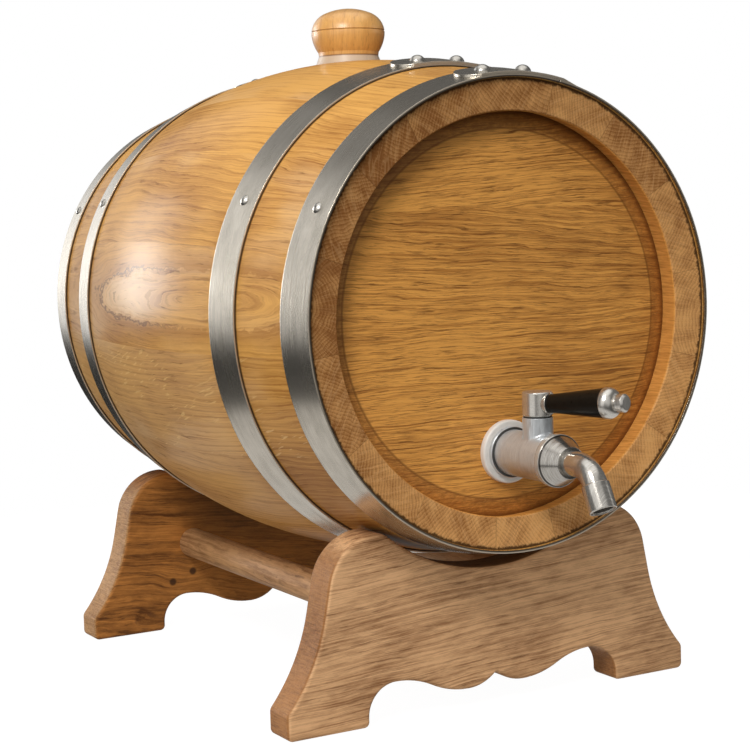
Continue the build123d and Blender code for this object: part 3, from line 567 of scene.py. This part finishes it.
# Tap: a stainless body clamped through the head between a nylon washer and an inside nut, with a bent spout
# held by a coned nut. The pieces are turned, so fine tool lines run round them, and the creases between them
# are drawn dark. Their undersides are the cleanest metal.
TAP_CREASES = ((-123.45, 0.4), (-159.62, 0.7), (-164.35, 0.5))
COLLAR_END = -164.22
TAP_EASE = 0.0005
UPWARD = (0.0, 0.0, 1.0)
CREASE_DARK = (0.035, 0.030, 0.025, 1)
BODY_LIGHT = (0.72, 0.76, 0.79, 1)
BODY_DARK = (0.36, 0.375, 0.385, 1)
STEEL_LIGHT = (0.76, 0.735, 0.69, 1)
STEEL_DARK = (0.42, 0.40, 0.365, 1)
NUT_LIGHT = (0.64, 0.615, 0.575, 1)
NUT_DARK = (0.26, 0.245, 0.22, 1)


def turned_steel(name, upright, light, dark, metal, rough, spread, dull_collar=0.0):
    """Turned steel with tool lines round the tap's own axis or round the upright neck."""
    material, shader, wire = new_finish(name)
    x, y, z = wire.place()
    reach = z if upright else y
    lines = wire.noise(reach * 3.4, x * 0.12, (y if upright else z) * 0.12, detail=5, rough=0.7)
    cloud = wire.noise(x * 0.14, y * 0.14, z * 0.14, detail=3)
    shade = ((lines - 0.5) * 2.0 + (cloud - 0.5) * 0.4 + 0.4).within()
    steel = shade.blend(light, dark)
    creases = sum((reach.near(crease, wide * 0.5, wide) for crease, wide in TAP_CREASES), 0.0)
    (creases.within() * 0.9).blend(steel, CREASE_DARK).into(shader, "Base Color")
    (lines * 0.08 + cloud * 0.08 + rough).into(shader, "Roughness")
    dull = reach.step(COLLAR_END - 0.3, COLLAR_END + 0.3) * dull_collar
    under = 1 - wire.facing()[2].step(-0.75, 0.05)
    (metal - dull + under * (1 - metal) * 0.8).into(shader, "Metallic")
    axis = UPWARD if upright else ALONG_BARREL
    brushed_normal(wire, lines, axis, spread, TAP_EASE).into(shader, "Normal")
    return material


body_steel = turned_steel(
    "turned_body_steel", False, BODY_LIGHT, BODY_DARK, metal=0.55, rough=0.22, spread=1.5
)
dress(["tap_body", "tap_lock_nut"], body_steel)
hub_steel = turned_steel(
    "turned_hub_steel", True, STEEL_LIGHT, STEEL_DARK, metal=0.80, rough=0.16, spread=0.35
)
dress(["lever_hub", "lever_set_screw", "tap_plug", "plug_clip"], hub_steel)
nut_steel = turned_steel(
    "turned_nut_steel", False, NUT_LIGHT, NUT_DARK, metal=0.92, rough=0.12, spread=0.2, dull_collar=0.5
)
dress(["spout_nut"], nut_steel)
spout_steel = turned_steel(
    "polished_spout_steel", False, STEEL_LIGHT, NUT_DARK, metal=0.85, rough=0.11, spread=0.12
)
dress(["spout_tube", "spout_nozzle"], spout_steel)

NYLON_GREY = (0.66, 0.63, 0.59, 1)
NYLON_WHITE = (0.82, 0.80, 0.77, 1)
WASHER_EASE = 0.0006
nylon, shader, wire = new_finish("milky_nylon", roughness=0.35)
x, y, z = wire.place()
cloud = wire.noise(x * 0.15, y * 0.3, z * 0.15, detail=3)
cloud.blend(NYLON_GREY, NYLON_WHITE).into(shader, "Base Color")
eased_edges(wire, WASHER_EASE).into(shader, "Normal")
dress(["tap_outer_washer", "tap_inner_washer"], nylon)


# Lever: a steel hub on the valve spindle, a black moulded grip on a rod and a turned bell-shaped cap.
# A thin black washer lies between the hub and the neck, and the seals inside the tap are of the same black.
lever_steel = turned_steel(
    "turned_lever_steel", False, STEEL_LIGHT, STEEL_DARK, metal=0.95, rough=0.22, spread=0.3
)
dress(["lever_ferrule", "lever_rod", "lever_end_cap"], lever_steel)

GRIP_BLACK = (0.005, 0.004, 0.003, 1)
GRIP_SPECK = (0.011, 0.009, 0.007, 1)
GRIP_EASE = 0.0006
moulded_grip, shader, wire = new_finish("moulded_black_grip", specular=0.15)
x, y, z = wire.place()
speck = wire.noise(x * 0.6, y * 0.6, z * 0.6, detail=3)
speck.blend(GRIP_BLACK, GRIP_SPECK).into(shader, "Base Color")
(0.24 + speck * 0.12).into(shader, "Roughness")
eased_edges(wire, GRIP_EASE).into(shader, "Normal")
dress(["lever_grip"], moulded_grip)

SEAL_BLACK = (0.012, 0.012, 0.012, 1)
SEAL_DUST = (0.03, 0.03, 0.03, 1)
seal_rubber, shader, wire = new_finish("black_seal")
x, y, z = wire.place()
dust = wire.noise(x * 0.8, y * 0.8, z * 0.8, detail=3)
dust.blend(SEAL_BLACK, SEAL_DUST).into(shader, "Base Color")
(0.5 + dust * 0.2).into(shader, "Roughness")
dress(["lever_washer", "plug_o_rings", "spout_seal"], seal_rubber)


# Studio: a round white table top under a soft lamp at the upper left. The steel and the varnish mirror pale
# walls and soft panels round the barrel, and the camera sees plain white past the table.
FLOOR_RADIUS = 0.62
FLOOR_SIDES = 96
FLOOR_PLACE = (0, 0, -0.0002)
FLOOR_NEAR = (330, 400)
FLOOR_FADE = (330, 580)
FLOOR_SHADOW = 0.16
FLOOR_WHITE = 1.16
FLOOR_MIRRORED = 0.70
TABLE_DARK = (0.04, 0.04, 0.04, 1)
TABLE_PALE = (0.60, 0.59, 0.57, 1)
WHITE = (1, 1, 1, 1)
WARM_WHITE = (1, 0.98, 0.95, 1)
bpy.ops.object.select_all(action="DESELECT")
bpy.ops.mesh.primitive_circle_add(
    vertices=FLOOR_SIDES, radius=FLOOR_RADIUS, fill_type="NGON", location=FLOOR_PLACE
)
floor = bpy.context.object
floor.name = "floor"
paper, shader, wire = new_finish("pale_floor", roughness=0.9)
x, y, z = wire.place()
from_middle = (x**2 + y**2) ** 0.5
seen = wire.add("LightPath", {}, out="Is Camera Ray")
mirrored = wire.add("LightPath", {}, out="Is Glossy Ray")
near_by = 1 - from_middle.step(*FLOOR_NEAR)
near_by.blend(TABLE_DARK, TABLE_PALE).into(shader, "Base Color")
matte = Wire(wire.tree, shader.outputs[0])
white = wire.add("Emission", {"Color": WHITE, "Strength": FLOOR_WHITE})
pale = wire.add("Emission", {"Color": WARM_WHITE, "Strength": FLOOR_MIRRORED})
bare = wire.add("MixShader", {0: mirrored * near_by, 1: matte, 2: pale})
clear = 1 - FLOOR_SHADOW * (1 - from_middle.step(*FLOOR_FADE))
surface = wire.add("MixShader", {0: seen * clear, 1: bare, 2: white})
surface.into(wire.tree.nodes["Material Output"], "Surface")
floor.data.materials.append(paper)

world = bpy.data.worlds.new("studio")
bpy.context.scene.world = world
world.use_nodes = True
sky = Wire(world.node_tree)
seen = sky.add("LightPath", {}, out="Is Camera Ray")
mirrored = sky.add("LightPath", {}, out="Is Glossy Ray") + sky.add("LightPath", {}, out="Is Transmission Ray")
way = sky.add("SeparateXYZ", {0: sky.add("TexCoord", {}, out="Generated")})
ahead = way.out(1)
rise = way.out(2)
level_run = (way**2 + ahead**2) ** 0.5


def panel(toward, wide, soft, strength):
    """A soft round panel of light in one direction."""
    toward = Vector(toward).normalized()
    facing = way * toward.x + ahead * toward.y + rise * toward.z
    return facing.step(math.cos(math.radians(wide + soft)), math.cos(math.radians(wide))) * strength


def tall_wall(heading, wide, soft, low, high):
    """An upright pale wall: its heading, its reach to each side, and its lower and upper edges."""
    turn = math.radians(heading)
    sideways = (way * math.sin(turn) + ahead * math.cos(turn)) / level_run
    tall = rise.step(low - 0.05, low) * (1 - rise.step(high, high + 0.2))
    return sideways.step(math.cos(math.radians(wide + soft)), math.cos(math.radians(wide))) * tall


LAMP_WHITE = (1.0, 0.985, 0.96, 1)
backdrop = tall_wall(-18, wide=22, soft=9, low=-0.10, high=0.48)
left_wall = tall_wall(-105, wide=16, soft=10, low=-0.2, high=0.65) * 0.85
low_window = panel((-0.42, 0.905, 0.07), wide=4, soft=6, strength=11.0)
window = low_window + panel((-0.316, 0.917, 0.242), wide=4, soft=6, strength=5.0)
front_panel = panel((-0.25, -1.0, 0.35), wide=20, soft=20, strength=0.55)
right_panel = panel((0.9, -0.4, 0.2), wide=8, soft=8, strength=1.0)
top_panel = panel((0, 0, 1), wide=25, soft=20, strength=1.05)
room = 0.10 * rise.step(-0.2, 0.1) + 0.02
glow = room + window + left_wall + front_panel + right_panel + top_panel
light = sky.add("Background", {"Color": LAMP_WHITE, "Strength": glow})
plain = sky.add("Background", {"Color": WHITE, "Strength": 1.0})
plain_share = (seen + mirrored * backdrop * (1 - window.within())).within()
shown = sky.add("MixShader", {0: plain_share, 1: light, 2: plain})
shown.into(world.node_tree.nodes["World Output"], "Surface")

KEY_PLACE = Vector((-0.70, -0.60, 0.92))
KEY_TARGET = Vector((0.0, 0.0, 0.2))
KEY_SIZE = 0.32
KEY_POWER = 7.3
KEY_COLOUR = (1.0, 0.97, 0.93)
key_light = bpy.data.lights.new("key_lamp", "AREA")
key_light.size = KEY_SIZE
key_light.energy = KEY_POWER
key_light.color = KEY_COLOUR
key_lamp = bpy.data.objects.new("key_lamp", key_light)
key_lamp.location = KEY_PLACE
key_lamp.rotation_euler = (KEY_TARGET - KEY_PLACE).to_track_quat("-Z", "Y").to_euler()
bpy.context.scene.collection.objects.link(key_lamp)


# Camera: the photograph's own view, from the left of the tap and a little above it. Its place, its turn and
# its lens were fitted to points on the hoops, the head, the tap and the cradle.
CAMERA_PLACE = Vector((-0.5222, -0.9363 + BARREL_MIDDLE / 1000, 0.2703))
YAW = math.radians(29.74)
PITCH = math.radians(5.58)
ROLL = math.radians(-1.664)
SENSOR_WIDTH = 36.0
FOCAL_LENGTH = 88.77
SHIFT_ACROSS = -0.00285
SHIFT_UP = -0.00586
forward = Vector((math.sin(YAW) * math.cos(PITCH), math.cos(YAW) * math.cos(PITCH), -math.sin(PITCH)))
level = Vector((math.cos(YAW), -math.sin(YAW), 0))
above = level.cross(forward)
right = level * math.cos(ROLL) + above * math.sin(ROLL)
upright = above * math.cos(ROLL) - level * math.sin(ROLL)
lens = bpy.data.cameras.new("photo_camera")
lens.sensor_width = SENSOR_WIDTH
lens.lens = FOCAL_LENGTH
lens.shift_x = SHIFT_ACROSS
lens.shift_y = SHIFT_UP
camera = bpy.data.objects.new("photo_camera", lens)
turned = Matrix((right, upright, -forward)).transposed().to_4x4()
camera.matrix_world = Matrix.Translation(CAMERA_PLACE) @ turned
bpy.context.scene.collection.objects.link(camera)
bpy.context.scene.camera = camera
bpy.context.scene.view_settings.view_transform = "Standard"
